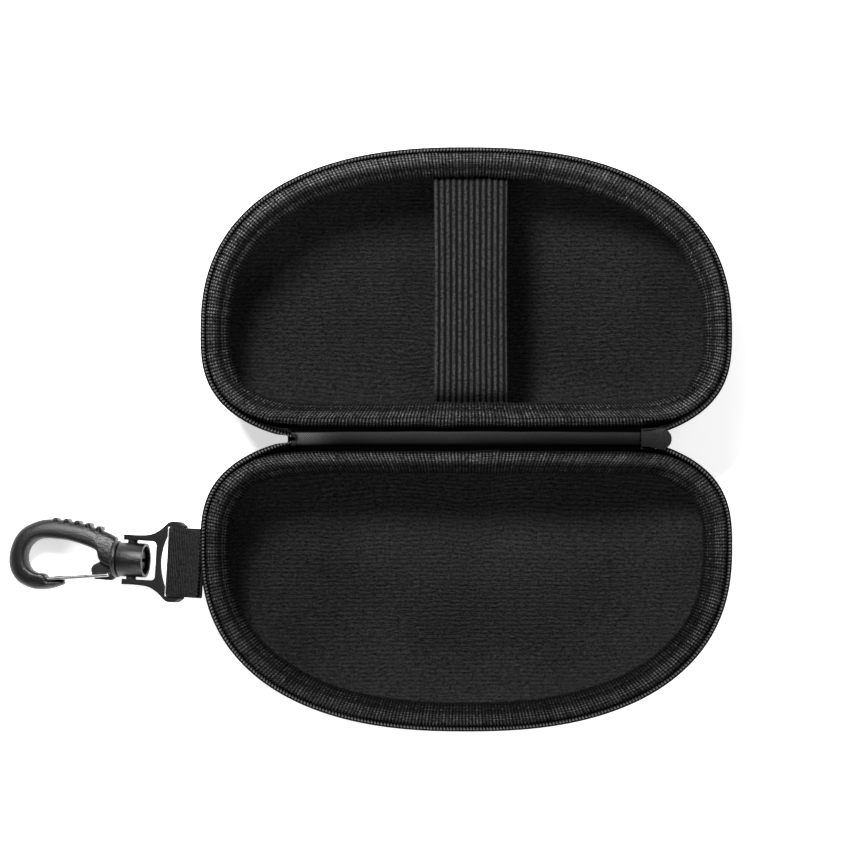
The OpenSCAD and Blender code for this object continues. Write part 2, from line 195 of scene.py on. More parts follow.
def new_object(name, points, faces, smooth=True, weave=None):
    """Mesh from points in metres and faces, with normals turned outwards.

    Weave holds up to three numbers a point for the materials: millimetres along and across the
    cloth, and painted light and shade from 0 to 1: high on rib tops and lit places, low in grooves and shade."""
    mesh = bpy.data.meshes.new(name)
    mesh.from_pydata(np.asarray(points, float).reshape(-1, 3).tolist(), [], [list(f) for f in faces])
    bm = bmesh.new()
    bm.from_mesh(mesh)
    bmesh.ops.recalc_face_normals(bm, faces=bm.faces)
    bm.to_mesh(mesh)
    bm.free()
    if weave is not None:
        weave = weave.reshape(-1, weave.shape[-1])
        flat = np.ones((len(mesh.vertices), 3), np.float32)
        flat[:, : weave.shape[1]] = weave
        mesh.attributes.new("weave", "FLOAT_VECTOR", "POINT").data.foreach_set("vector", flat.ravel())
    mesh.polygons.foreach_set("use_smooth", [smooth] * len(mesh.polygons))
    obj = bpy.data.objects.new(name, mesh)
    bpy.context.scene.collection.objects.link(obj)
    return obj


def grid_faces(rows, cols, close_rows=False, first=0):
    """Quads of a rows by cols grid of points, each row of which is a closed ring."""
    r = np.arange(rows if close_rows else rows - 1)
    r, c = (v.ravel() for v in np.meshgrid(r, np.arange(cols), indexing="ij"))
    r2, c2 = (r + 1) % rows, (c + 1) % cols
    corners = [r * cols + c, r * cols + c2, r2 * cols + c2, r2 * cols + c]
    return (first + np.stack(corners, -1)).tolist()


def skin(stations, count, closed=False):
    """Faces over stations of closed sections, with both ends capped unless the stations close."""
    faces = grid_faces(stations, count, closed)
    if not closed:
        faces += [list(range(count)), list(range((stations - 1) * count, stations * count))]
    return faces


def sweep(name, points, closed=False, smooth=True, weave=None):
    """Solid over stations by section points."""
    return new_object(name, points, skin(*points.shape[:2], closed), smooth, weave)


def beads(name, centres, tangents, ups, size, around=8, along=5):
    """Short rounded stitches of that length, width and height, one at each centre."""
    length, width, height = size
    roundness = 0.6
    phi = np.linspace(0, math.pi, along + 2)[1:-1]
    sides = np.cross(tangents, ups)
    points, faces = [], []
    for c, t, u, s in zip(centres, tangents, ups, sides):
        first = len(points)
        points.append(c - t * length / 2)
        for f in phi:
            for a in circle(around):
                points.append(
                    c
                    - t * math.cos(f) * length / 2
                    + s * math.sin(f) ** roundness * math.cos(a) * width / 2
                    + u * math.sin(f) ** roundness * math.sin(a) * height / 2
                )
        points.append(c + t * length / 2)
        faces += grid_faces(along, around, first=first + 1)
        last = len(points) - 1
        for k in range(around):
            n = (k + 1) % around
            faces.append([first, first + 1 + n, first + 1 + k])
            faces.append([last, last - around + k, last - around + n])
    return new_object(name, np.array(points) * MM, faces)


# ---------------------------------------------------------------- materials


def grey(level):
    return level, level, level, 1.0


class Nodes:
    """Small helper that adds and joins nodes of one material."""

    def __init__(self, name):
        self.mat = bpy.data.materials.new(name)
        self.mat.use_nodes = True
        self.tree = self.mat.node_tree
        self.bsdf = self.tree.nodes["Principled BSDF"]

    def add(self, kind, **settings):
        node = self.tree.nodes.new(kind)
        for key, value in settings.items():
            setattr(node, key, value)
        return node

    def feed(self, socket, value):
        """Set a socket to a value, or join it to another node's output."""
        if isinstance(value, bpy.types.NodeSocket):
            self.tree.links.new(value, socket)
        else:
            socket.default_value = value

    def math(self, operation, *values, clamp=False):
        node = self.add("ShaderNodeMath", operation=operation, use_clamp=clamp)
        for socket, value in zip(node.inputs, values):
            self.feed(socket, value)
        return node.outputs[0]

    def plus(self, a, b):
        return self.math("ADD", a, b)

    def times(self, a, b, clamp=False):
        return self.math("MULTIPLY", a, b, clamp=clamp)

    def scaled(self, value, factor, offset, clamp=False):
        """value x factor + offset"""
        return self.math("MULTIPLY_ADD", value, factor, offset, clamp=clamp)

    def weave(self):
        """Millimetres along and across the cloth, and painted light and shade from 0 to 1: high on rib tops
        and lit places, low in grooves and shade.
        """
        attribute = self.add("ShaderNodeAttribute", attribute_name="weave")
        parts = self.add("ShaderNodeSeparateXYZ")
        self.feed(parts.inputs[0], attribute.outputs["Vector"])
        return parts.outputs

    def vector(self, *values):
        node = self.add("ShaderNodeCombineXYZ")
        for socket, value in zip(node.inputs, values):
            self.feed(socket, value)
        return node.outputs[0]

    def wave(self, coordinate, pitch, power=1.0):
        """Round ridges of that pitch along a coordinate: 1 on a ridge, 0 between two."""
        ridge = self.math("ABSOLUTE", self.math("SINE", self.times(coordinate, math.pi / pitch)))
        return ridge if power == 1.0 else self.math("POWER", ridge, power)

    def noise(self, scale, detail=2.0, roughness=0.5, vector=None):
        """Noise from 0 to 1 over the piece's own frame in metres, or over a vector."""
        node = self.add("ShaderNodeTexNoise")
        self.feed(node.inputs["Scale"], scale)
        self.feed(node.inputs["Detail"], detail)
        self.feed(node.inputs["Roughness"], roughness)
        self.feed(node.inputs["Vector"], vector or self.add("ShaderNodeTexCoord").outputs["Object"])
        return node.outputs["Fac"]

    def wander(self, noise, size):
        """Noise turned into a shift to both sides."""
        return self.times(self.math("SUBTRACT", noise, 0.5), size)

    def ramp(self, value, *stops):
        """Grey from (position, level) stops."""
        node = self.add("ShaderNodeValToRGB")
        elements = node.color_ramp.elements
        while len(elements) < len(stops):
            elements.new(0.5)
        for element, (at, level) in zip(elements, stops):
            element.position = at
            element.color = grey(level)
        self.feed(node.inputs[0], value)
        return node.outputs["Color"]

    def bump(self, height, depth):
        """Normal of a relief that is that many millimetres deep."""
        node = self.add("ShaderNodeBump")
        self.feed(node.inputs["Distance"], depth * MM)
        self.feed(node.inputs["Height"], height)
        return node.outputs["Normal"]

    def finish(self, colour, roughness, specular, normal=None, sheen=0.0, metallic=0.0):
        """Join the surface's values to the shader and hand back the material."""
        values = {
            "Base Color": colour, "Roughness": roughness, "Specular IOR Level": specular,
            "Metallic": metallic, "Sheen Weight": sheen, "Sheen Roughness": 0.5,
        }
        for name, value in values.items():
            self.feed(self.bsdf.inputs[name], value)
        if normal is not None:
            self.feed(self.bsdf.inputs["Normal"], normal)
        return self.mat


def cover_fabric():
    n = Nodes("cover_fabric")
    along, across, _ = n.weave()
    yarns = n.times(n.wave(along, pitch=0.55), n.wave(across, pitch=0.55))
    tone = n.scaled(yarns, 0.6, n.times(n.noise(900), 0.4))
    colour = n.ramp(tone, (0.2, 0.003), (0.9, 0.012))
    return n.finish(colour, roughness=0.7, specular=0.2, normal=n.bump(yarns, 0.12), sheen=0.015)


def foam_core():
    n = Nodes("foam_core")
    cells = n.noise(1800, detail=3.0)
    colour = n.ramp(cells, (0.3, 0.003), (0.7, 0.006))
    return n.finish(colour, roughness=0.95, specular=0.1, normal=n.bump(cells, 0.1))


def lining_knit():
    """Wandering ribs, broken into short soft lengths of fine loops."""
    n = Nodes("lining_knit")
    along, across, _ = n.weave()
    wander = n.wander(n.noise(60, detail=4.0, roughness=0.65), 2.6)
    rib = n.wave(n.plus(across, wander), pitch=1.33, power=0.8)
    lengths = n.noise(1.4, roughness=0.6, vector=n.vector(n.times(along, 0.4), across))
    fuzz = n.noise(1500, detail=3.0, roughness=0.75)
    loops = n.times(rib, n.scaled(lengths, 2.6, -0.8, clamp=True))
    grit = n.scaled(fuzz, 3.0, -1.0, clamp=True)
    height = n.scaled(grit, 0.7, loops)
    patches = n.scaled(n.noise(30), 0.9, 0.55)
    tone = n.times(n.scaled(loops, 0.5, n.times(grit, 0.6)), patches)
    colour = n.ramp(tone, (0.05, 0.0014), (0.95, 0.029))
    return n.finish(colour, roughness=0.95, specular=0.03, normal=n.bump(height, 0.5), sheen=0.003)


def binding_tape():
    """Grosgrain: the ribs are in the mesh, and the dots of its yarns lie across them."""
    n = Nodes("binding_tape")
    _, across, height = n.weave()
    dots = n.wave(n.plus(across, n.wander(n.noise(200), 0.9)), pitch=0.95, power=0.8)
    fuzz = n.noise(1300, roughness=0.65)
    grit = n.scaled(fuzz, 2.4, -0.6, clamp=True)
    wear_and_painted_light = n.scaled(n.noise(90), 0.8, 0.55)
    # the weave's third number paints light and shade into the colour: lighter rib tops, darker grooves,
    # painted shade on the flap and foot, and a painted falloff from one end to the other
    tone = n.times(height, n.times(n.scaled(dots, 0.25, 0.75), n.times(grit, wear_and_painted_light)))
    return n.finish(
        n.ramp(tone, (0.02, 0.0018), (0.85, 0.023)), roughness=0.42,
        specular=n.times(tone, 1.1, clamp=True), normal=n.bump(n.plus(dots, fuzz), 0.14), sheen=0.004,
    )


def zip_tape():
    n = Nodes("zip_tape")
    along, across, _ = n.weave()
    yarns = n.plus(n.wave(along, pitch=0.5), n.wave(across, pitch=0.35))
    colour = n.ramp(yarns, (0.1, 0.001), (1.0, 0.004))
    return n.finish(colour, roughness=0.9, specular=0.08, normal=n.bump(yarns, 0.08))


def zip_coil():
    """Nylon wire, with a painted highlight only on the heads of its turns."""
    n = Nodes("zip_coil")
    _, _, painted_head_light = n.weave()
    colour = n.ramp(painted_head_light, (0.15, 0.0012), (0.9, 0.07))
    return n.finish(colour, roughness=0.34, specular=n.times(painted_head_light, 0.4), normal=n.bump(n.noise(1500), 0.03))


def thread():
    n = Nodes("thread")
    fibres = n.noise(3000)
    colour = n.ramp(fibres, (0.3, 0.003), (0.7, 0.009))
    return n.finish(colour, roughness=0.8, specular=0.04, normal=n.bump(fibres, 0.05))


def elastic():
    n = Nodes("elastic")
    along, across, height = n.weave()
    picks = n.wave(n.plus(along, n.times(n.wave(across, pitch=0.45), 0.25)), pitch=0.55, power=0.8)
    fuzz = n.noise(1500, detail=3.0, roughness=0.6)
    cloth = n.times(n.scaled(picks, 0.6, 0.4), n.scaled(fuzz, 3.0, -0.9, clamp=True))
    # height is the band's painted light: rib tops painted lighter, grooves painted dark as shade
    tone = n.times(n.math("POWER", height, 1.2), cloth)
    return n.finish(
        n.ramp(tone, (0.02, 0.005), (0.85, 0.029)), roughness=0.6,
        specular=n.times(tone, 0.35, clamp=True), normal=n.bump(cloth, 0.18), sheen=0.01,
    )


def hinge_twill():
    n = Nodes("hinge_twill")
    along, across, height = n.weave()
    twill = n.wave(n.plus(along, n.times(across, 0.8)), pitch=0.7)
    cloth = n.scaled(twill, 0.8, n.times(n.noise(1500), 0.4))
    # height is the strip's painted light: a lit crown with a painted highlight, and painted shade on its
    # sides
    tone = n.times(n.times(height, 0.5), cloth)
    colour = n.ramp(tone, (0.02, 0.0008), (0.45, 0.019), (0.95, 0.08))
    return n.finish(colour, roughness=0.55, specular=n.times(tone, 0.3), normal=n.bump(twill, 0.2))


WEFT_PITCH = 0.62  # of the webbing, whose mesh has the same ribs


def webbing():
    n = Nodes("webbing")
    along, across, _ = n.weave()
    picks = n.wave(n.plus(along, n.times(n.wave(across, pitch=1.1), 0.15)), WEFT_PITCH)
    fuzz = n.noise(1500, detail=3.0, roughness=0.65)
    cloth = n.times(n.math("POWER", picks, 1.5), n.scaled(fuzz, 2.4, -0.5, clamp=True))
    colour = n.ramp(cloth, (0.05, 0.001), (0.8, 0.016))
    relief = n.bump(n.plus(picks, fuzz), 0.16)
    return n.finish(colour, roughness=0.6, specular=n.times(cloth, 0.12), normal=relief)


def slider_metal():
    n = Nodes("slider_metal")
    grain = n.noise(1500, detail=3.0, roughness=0.7)
    colour = n.ramp(grain, (0.3, 0.002), (0.7, 0.007))
    return n.finish(colour, roughness=0.4, specular=0.15, normal=n.bump(grain, 0.1))


def grip_rubber():
    n = Nodes("grip_rubber")
    grain = n.noise(900)
    colour = n.ramp(grain, (0.3, 0.006), (0.7, 0.012))
    return n.finish(colour, roughness=0.7, specular=0.3, normal=n.bump(grain, 0.06))


def clip_plastic(name="clip_plastic", tones=(0.001, 0.0035), roughness=0.34, grain_depth=0.12, specular=0.33):
    """Moulded plastic with a fine eroded grain and a gloss that varies a little round the roughness."""
    n = Nodes(name)
    grain = n.noise(2600, roughness=0.6)
    gloss = n.scaled(n.noise(3000), 0.3, roughness - 0.15)
    colour = n.ramp(grain, (0.3, tones[0]), (0.7, tones[1]))
    return n.finish(colour, gloss, specular, normal=n.bump(grain, grain_depth))


def frame_plastic():
    return clip_plastic("frame_plastic", tones=(0.005, 0.010), roughness=0.5, grain_depth=0.04, specular=0.12)


def gate_steel():
    n = Nodes("gate_steel")
    drawn = n.noise(400)
    colour = n.ramp(drawn, (0.3, 0.3), (0.7, 0.42))
    return n.finish(colour, roughness=0.25, specular=0.5, normal=n.bump(drawn, 0.02), metallic=1.0)


MATERIALS = {
    make.__name__: make()
    for make in (
        cover_fabric, foam_core, lining_knit, binding_tape, zip_tape, zip_coil, thread, elastic,
        hinge_twill, webbing, slider_metal, grip_rubber, clip_plastic, frame_plastic, gate_steel,
    )
}


def dress(obj, material):
    """Give a piece its material."""
    obj.data.materials.clear()
    obj.data.materials.append(MATERIALS[material])
    return obj


# ---------------------------------------------------------------- bowls

# A layer's outer and inner surface, each by its insets at the rim and in the dome
COVER = ((0, 0), (0.6, 0.6))
FOAM = ((1.5, 0.7), (4.3, 3.9))
LINING = ((4.4, 4.0), (5.1, 4.7))
# Stations round a bowl, and rings between its wall and its floor
FINE_MESH, COARSE_MESH, MEASURING_MESH = (288, 30), (144, 18), (96, 18)
WALL_ROWS = 5


def bowl_surface(insets, stations, rings):
    """Rows of a bowl's surface from its upper edge to the floor, and the floor's middle."""
    s_rim, s_body = insets
    deepest = RIM_Z - s_body
    t = np.linspace(0, 2 * math.pi, stations, endpoint=False)
    rows = [stacked(*edge(t, s_rim), depth) for depth in np.linspace(COVER_TOP, WALL_DEPTH, WALL_ROWS)]
    for k in range(1, rings):
        r = math.cos(k / rings * math.pi / 2) ** (2 / DOME_POWER)
        # the inset changes from the rim's to the dome's over the first few rings
        s = s_body + (s_rim - s_body) * math.exp(-k / 2)
        rows.append(stacked(*edge(t, s, r), min(dome(r, s), deepest)))
    middle = np.array([0.0, BELLY + FLOOR_SHIFT, min(dome(0.0, s_body), deepest)])
    return np.array(rows), middle


def unrolled(rows, middle):
    """Fabric coordinates of a bowl: distance over the surface from the floor's middle."""
    steps = np.concatenate([rows[1:], np.broadcast_to(middle, rows[:1].shape)]) - rows
    run = np.cumsum(np.linalg.norm(steps, axis=-1)[::-1], 0)[::-1]
    return run[..., None] * unit(rows[0, :, :2] - middle[:2])[None]


def bowl(name, side, layer, stations, rings):
    """Closed bowl between a layer's two surfaces."""
    (out_rows, out_mid), (in_rows, in_mid) = (bowl_surface(insets, stations, rings) for insets in layer)
    points = np.concatenate([out_rows.reshape(-1, 3), in_rows.reshape(-1, 3), [out_mid, in_mid]])
    cloth = [unrolled(out_rows, out_mid).reshape(-1, 2), unrolled(in_rows, in_mid).reshape(-1, 2)]
    weave = np.concatenate([*cloth, np.zeros((2, 2))])
    levels = len(out_rows)
    total = levels * stations
    low = total - stations
    faces = grid_faces(levels, stations) + grid_faces(levels, stations, first=total)
    for k in range(stations):
        n = (k + 1) % stations
        faces.append([k, n, total + n, total + k])
        faces.append([low + k, low + n, 2 * total])
        faces.append([total + low + k, total + low + n, 2 * total + 1])
    return new_object(name, place(*points.T, side), faces, weave=weave)


def half_shell(half):
    """Cover, foam and lining of one half. Both cloths are cut to the shell's surface rolled flat."""
    side = SIDES[half]
    cover = dress(bowl(half + "_cover_fabric", side, COVER, *FINE_MESH), "cover_fabric")
    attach(cover, half)
    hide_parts(half + "_cover")
    foam = dress(bowl(half + "_foam", side, FOAM, *COARSE_MESH), "foam_core")
    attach(foam, half)
    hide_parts(half + "_core")
    lining = dress(bowl(half + "_lining_knit", side, LINING, *FINE_MESH), "lining_knit")
    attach(lining, half)
    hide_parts(half + "_lining")


# ---------------------------------------------------------------- rim binding

# Section of the binding as [inset, depth]: foot, ridge, valley and flap, and back underneath
BINDING = [
    [1.75, 3.3], [1.65, 1.3], [2.2, 0.5], [3.3, 0.15], [4.6, 0.4], [5.5, 1.3], [6.1, 2.7], [6.7, 3.1],
    [7.5, 3.6], [8.2, 4.8], [8.6, 6.5], [8.4, 6.9], [7.9, 6.6], [7.1, 5.2], [6.2, 3.9], [5.2, 3.5],
]
LEAST_DEPTH = 0.12
RIDGE_INSET = 4.0
RIB_PITCH = 1.0
STEPS_PER_RIB = 5
RIB_LIFT = 0.17
# Where each half's binding laps over its own end, on the spine side, and the length of the lap
LAPS = {"lower": (9.8, 9.0), "lid": (-3.7, 9.0)}
LAP_LIFT = 0.32
# Puckers of the flap, as places along the hinge and away from it, height of the pucker and its width
PUCKERS = {
    "lid": [(69, 13, 0.9, 3.0), (62, 8, -0.5, 2.5), (-70, 14, 0.6, 3.0), (-60, 9, -0.5, 3.0)],
    "lower": [(70, 14, 0.6, 3.0), (-68, 12, 0.7, 3.0), (-60, 8, -0.5, 2.5), (58, 8, 0.5, 3.0)],
}
# Seeds of the slow drift of the flap's edge and of the ridge, and how far they drift
DRIFT_SEEDS = {"lower": (5, 12), "lid": (3, 11)}
FLAP_DRIFT, RIDGE_DRIFT = 0.16, 0.09
# How much darker the flap is painted than the ridge: painted shade, as it turns down away from the light
FLAP_PAINTED_SHADE = {"lower": 0.5, "lid": 0.1}
# How far the ridge and the flap's edge are pulled away from the hinge, along the middle of the spine
SPINE_EASE = {"lower": (0.5, -1.2), "lid": (2.1, -0.1)}
STITCH_INSET, STITCH_DEPTH, STITCH_PITCH = 6.7, 2.72, 2.7
STITCH_SIZE = (1.9, 0.42, 0.36)


def rim_wander(along, total, seed, size):
    """Slow random drift round the rim that closes on itself."""
    local = np.random.default_rng(seed)
    turn = along / total * 2 * math.pi
    waves = (3, 7, 13, 22, 31)
    return size * sum(local.normal() / (k**0.5) * np.sin(k * turn + local.uniform(0, 6.3)) for k in waves)


def spine_ease(x, y, inset, half):
    """How far the binding is pulled away from the hinge line at a point of the rim."""
    ridge, tip = SPINE_EASE[half]
    share = np.clip((inset - 2.4) / 6.4, 0, 1)
    middle = np.exp(-((x / 66.0) ** 8)) * np.clip(1 - (y - 4.0) / 16.0, 0, 1)
    uneven = 0.22 * np.sin(x * 0.21 + 1.3) * np.sin(x * 0.083) * (1 - share)
    return middle * (ridge + (tip - ridge) * share + uneven)


def lap_lift(x, y, half):
    """How far the binding is lifted where it lies over its own end."""
    end, length = LAPS[half]
    on_lap = (y < 12) & (x > end - length) & (x < end)
    return LAP_LIFT * on_lap * np.clip((x - (end - length)) / 4.0, 0, 1)


def flap_drift(half, x, y, along, total, ribs, height):
    """How far the flap's edge is out of line. It is ragged, as each rib ends where it likes."""
    drift = rim_wander(along, total, DRIFT_SEEDS[half][0], FLAP_DRIFT)
    drift = drift + np.repeat(rng.uniform(-0.16, 0.16, ribs), STEPS_PER_RIB) - 0.14 * height
    for px, py, high, wide in PUCKERS[half]:
        drift = drift + high * np.exp(-((np.hypot(x - px, y - py) / wide) ** 2))
    return drift


def binding_stitches(half, total, t, drift):
    """The stitches that hold the flap, in the valley behind the ridge."""
    side = SIDES[half]
    count = int(total / STITCH_PITCH)
    at = rim_stations(STITCH_INSET, count)[0]
    inset = STITCH_INSET - 0.2 * np.interp(at, t, drift)
    here, ahead = np.stack(edge(at, inset)), np.stack(edge(at + 1e-3, inset))
    ease = spine_ease(*here, STITCH_INSET, half)
    step = (ahead - here) * [[1], [side]]
    tangent = unit(stacked(*step, 0.0))
    inward = stacked(-tangent[:, 1], tangent[:, 0], 0.0)
    tangent = tangent + inward * rng.uniform(-0.12, 0.12, (count, 1))
    ups = np.tile([0.0, 0.0, 1.0], (count, 1))
    centre = place(here[0], here[1] + ease, STITCH_DEPTH, side) / MM
    row = beads(half + "_binding_stitches", centre, tangent, ups, STITCH_SIZE)
    return dress(row, "thread")


def half_binding(half):
    """Ribbed tape folded over one half's rim, and its stitches."""
    side = SIDES[half]
    base = smooth_curve(BINDING, 2, closed=True)
    normal = section_normals(base)
    ribs = int(round(rim_stations(RIDGE_INSET, 10)[2] / RIB_PITCH))
    count = ribs * STEPS_PER_RIB
    t, along, total = rim_stations(RIDGE_INSET, count)
    x0, y0 = edge(t, RIDGE_INSET)
    phase = np.arange(count) / STEPS_PER_RIB
    height = 0.5 + 0.5 * np.cos(2 * math.pi * phase)
    # ribs stand up on the outside only, and each one is a little stronger or weaker
    strength = np.repeat(rng.uniform(0.6, 1.15, ribs), STEPS_PER_RIB)
    outside = (base[:, 1] < 3.4) | (base[:, 0] > 7.0)
    lift = (RIB_LIFT * height * strength + lap_lift(x0, y0, half))[:, None] * outside[None]
    flap = np.clip((base[:, 0] - 5.6) / 1.6, 0, 1)
    # the foot by the teeth is not pulled with the rest, and is painted dark, a painted shade in the gap there
    foot = np.where(base[:, 0] < 3.0, np.clip((base[:, 1] - 0.8) / 1.2, 0, 1), 0.0)
    drift = flap_drift(half, x0, y0, along, total, ribs, height)
    flap_shift = drift[:, None] * flap[None]
    ridge_shift = rim_wander(along, total, DRIFT_SEEDS[half][1], RIDGE_DRIFT)[:, None]
    inset = base[None, :, 0] + normal[None, :, 0] * lift - flap_shift + ridge_shift
    depth = np.maximum(base[None, :, 1] + normal[None, :, 1] * lift + 0.5 * flap_shift, LEAST_DEPTH)
    x, y = edge(t[:, None], inset)
    y = y + spine_ease(x, y, inset, half) * (1 - foot[None])
    # painted light: the cloth is painted lighter towards the lid's far end and darker towards the lower
    # half's far end, as the light falls from the lid's side
    painted_falloff = 0.9 + 0.28 * side * y0 / FAR_REACH
    # rib tops are painted lighter and grooves darker, a painted shade
    painted_rib_light = (painted_falloff * height * strength / strength.max())[:, None]
    # the flap and the foot are painted darker, a painted shade
    painted_light = painted_rib_light * (1 - FLAP_PAINTED_SHADE[half] * flap[None]) * (1 - foot[None])
    weave = stacked(phase[:, None] * RIB_PITCH, run_along(base)[None], painted_light)
    tape = sweep(half + "_binding_tape", place(x, y, depth, side), closed=True, weave=weave)
    dress(tape, "binding_tape")
    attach(tape, half)
    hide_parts(half + "_binding")
    row = binding_stitches(half, total, t, drift)
    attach(row, half)


# ---------------------------------------------------------------- zip

ZIP_INSET = 0.95
COIL_SPAN = (math.radians(-48.5), math.radians(236))
COIL_INSET, COIL_DEPTH = 1.3, 0.88
COIL_PITCH = 1.0
COIL_HALF_WIDTH, COIL_HALF_HEIGHT = 0.5, 0.46
STEPS_PER_TURN = 10
WIRE_RADIUS, WIRE_SIDES = 0.23, 6
TAPE_SPAN = (math.radians(-50), math.radians(236))
TAPE_STATIONS = 450
# Section of a tape as [inset, depth]
TAPE = np.array([
    [0.02, 2.0], [0.12, 1.5], [0.5, 1.25], [1.0, 1.2], [1.5, 1.3], [1.72, 1.7], [1.55, 3.2], [1.35, 7.4],
    [0.75, 7.4], [0.72, 3.2], [0.6, 2.3],
])


def coil_turns(half):
    """Spiral of nylon wire that makes one side's teeth."""
    length = even_stations(lambda t: coil_edge(t, ZIP_INSET), *COIL_SPAN, 10, False)[2]
    steps = int(length / COIL_PITCH) * STEPS_PER_TURN
    t, along, _ = even_stations(lambda t: coil_edge(t, COIL_INSET), *COIL_SPAN, steps, False)
    turn = 2 * math.pi * np.arange(len(t)) / STEPS_PER_TURN
    tangent = unit(np.gradient(np.stack(coil_edge(t, COIL_INSET), -1), axis=0))
    ox, oy = tangent[:, 1], -tangent[:, 0]  # away from the half, as the outline runs anticlockwise
    # the upper side of each turn runs straight across, and the lower side steps on to the next
    x, y = coil_edge(np.interp(along + 0.13 * np.cos(turn), along, t), COIL_INSET)
    out = COIL_HALF_WIDTH * np.cos(turn)
    centre = np.stack([x + ox * out, y + oy * out, COIL_DEPTH - COIL_HALF_HEIGHT * np.sin(turn)], -1)
    ahead = unit(np.gradient(centre, axis=0))
    radial = np.stack([ox * np.cos(turn), oy * np.cos(turn), -np.sin(turn)], -1)
    radial = unit(radial - ahead * np.sum(radial * ahead, 1, keepdims=True))
    third = np.cross(ahead, radial)
    # each turn has a blunt head on the outside, painted lighter on its upper outer side: a painted highlight
    wire = WIRE_RADIUS * (1 + 0.45 * np.clip(np.cos(turn), 0, 1))
    painted_head_light = np.clip(0.25 + 0.75 * np.cos(turn), 0, 1) * np.clip(0.7 + 0.5 * np.sin(turn), 0, 1)
    a = circle(WIRE_SIDES)
    ring = np.cos(a)[None, :, None] * radial[:, None] + np.sin(a)[None, :, None] * third[:, None]
    x, y, depth = np.moveaxis(centre[:, None] + wire[:, None, None] * ring, -1, 0)
    placed = place(x, y, np.maximum(depth, 0.1), SIDES[half])
    weave = stacked(along[:, None], np.zeros(WIRE_SIDES)[None], painted_head_light[:, None])
    coil = dress(sweep(half + "_zip_teeth", placed, weave=weave), "zip_coil")
    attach(coil, half)
    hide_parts(half + "_zip_coil")


def half_tape(half):
    """Woven tape that carries the teeth and goes down between the cover and the foam."""
    t, along, _ = even_stations(lambda t: coil_edge(t, ZIP_INSET), *TAPE_SPAN, TAPE_STATIONS, False)
    cx, cy = coil_edge(t[:, None], TAPE[None, :, 0])
    ex, ey = edge(t[:, None], TAPE[None, :, 0])
    # the foot follows the shell, the top follows the teeth
    share = np.clip((TAPE[:, 1] - 1.7) / 3.0, 0, 1)[None]
    x, y = cx + (ex - cx) * share, cy + (ey - cy) * share
    placed = place(x, y, TAPE[None, :, 1], SIDES[half])
    weave = stacked(along[:, None], run_along(TAPE)[None])
    tape = dress(sweep(half + "_tape", placed, weave=weave), "zip_tape")
    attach(tape, half)
    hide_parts(half + "_zip_tape")


# ---------------------------------------------------------------- elastic band

# Run of the band from the hinge side to the far side, as (y, depth)
BAND_PATH = [
    (8.9, 5.6), (9.3, 7.0), (10.2, 7.75), (11.2, 7.6), (12.3, 6.5), (13.9, 5.3), (16.7, 4.75), (24, 4.55),
    (45, 4.5), (66, 4.55), (73.5, 4.75), (76.4, 5.3), (78.0, 6.5), (79.1, 7.6), (80.1, 7.75), (81.0, 7.0),
    (81.4, 5.6),
]
BAND_TOP = 4.5  # least depth of that run
BAND_THICKNESS = 1.2
BAND_RIBS, BAND_RIB_PITCH, BAND_GROOVE = 12, 1.8, 0.55


def band_section(width):
    """Closed section of the ribbed band as [across, up, painted light], the last 1 on rib tops and 0 down in
    the grooves, painted shade.
    """
    profile = []
    for k in range(BAND_RIBS + 1):
        left = -width / 2 + k * BAND_RIB_PITCH
        right = min(left + BAND_RIB_PITCH - BAND_GROOVE, width / 2 - 0.05)
        inner = right - 0.35 if right - left > 0.9 else right - 0.2
        profile += [
            (left, -0.35, 0), (left + 0.1, -0.12, 0.5), (left + 0.35, 0.0, 1), ((left + right) / 2, 0.04, 1),
            (inner, 0.0, 1), (right - 0.1, -0.14, 0.5), (right, -0.36, 0),
        ]
    profile = np.array(profile)
    return np.concatenate([profile, profile[::-1] * [1, -1, 1] - [0, BAND_THICKNESS, 0]])


def elastic_band():
    """Ribbed band stretched across the lid, its ends turned down behind the flaps."""
    low, high = (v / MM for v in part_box("elastic_band"))
    middle = (low.x + high.x) / 2 - CASE_X
    width = high.x - low.x
    across, up, painted_light = band_section(width).T[:, None]
    path = smooth_curve(BAND_PATH, 8)
    step = unit(np.gradient(path, axis=0))
    towards_viewer = np.stack([step[:, 1], -step[:, 0]], -1)[:, None]  # as depth grows downwards
    y = path[:, None, 0] + towards_viewer[..., 0] * up
    depth = path[:, None, 1] + towards_viewer[..., 1] * up + (RIM_Z - high.z - BAND_TOP)
    waist = 0.25 * np.sin(np.clip((path[:, 0] - 11) / 68, 0, 1) * math.pi)
    x = middle + across * (1 - waist / (width / 2))[:, None]
    run = run_along(path)
    weave = stacked(run[:, None], across, painted_light)
    band = dress(sweep("elastic_ribs", place(x, y, depth, SIDES["lid"]), weave=weave), "elastic")
    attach(band, "lid")
    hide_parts("elastic_band")


# ---------------------------------------------------------------- hinge strip

# One side of the strip's upper face, from its crown, as (y, depth below the crown)
STRIP_SIDE = [(0.0, 0.0), (0.7, 0.05), (1.3, 0.25), (1.8, 0.65), (2.1, 1.0), (2.5, 1.2), (4.8, 1.2)]
STRIP_THICKNESS = 0.45
FLAT_END_LENGTH = 2.1
FLAT_DEPTH = 3.5  # of the strip's flat end and of the slider's tab


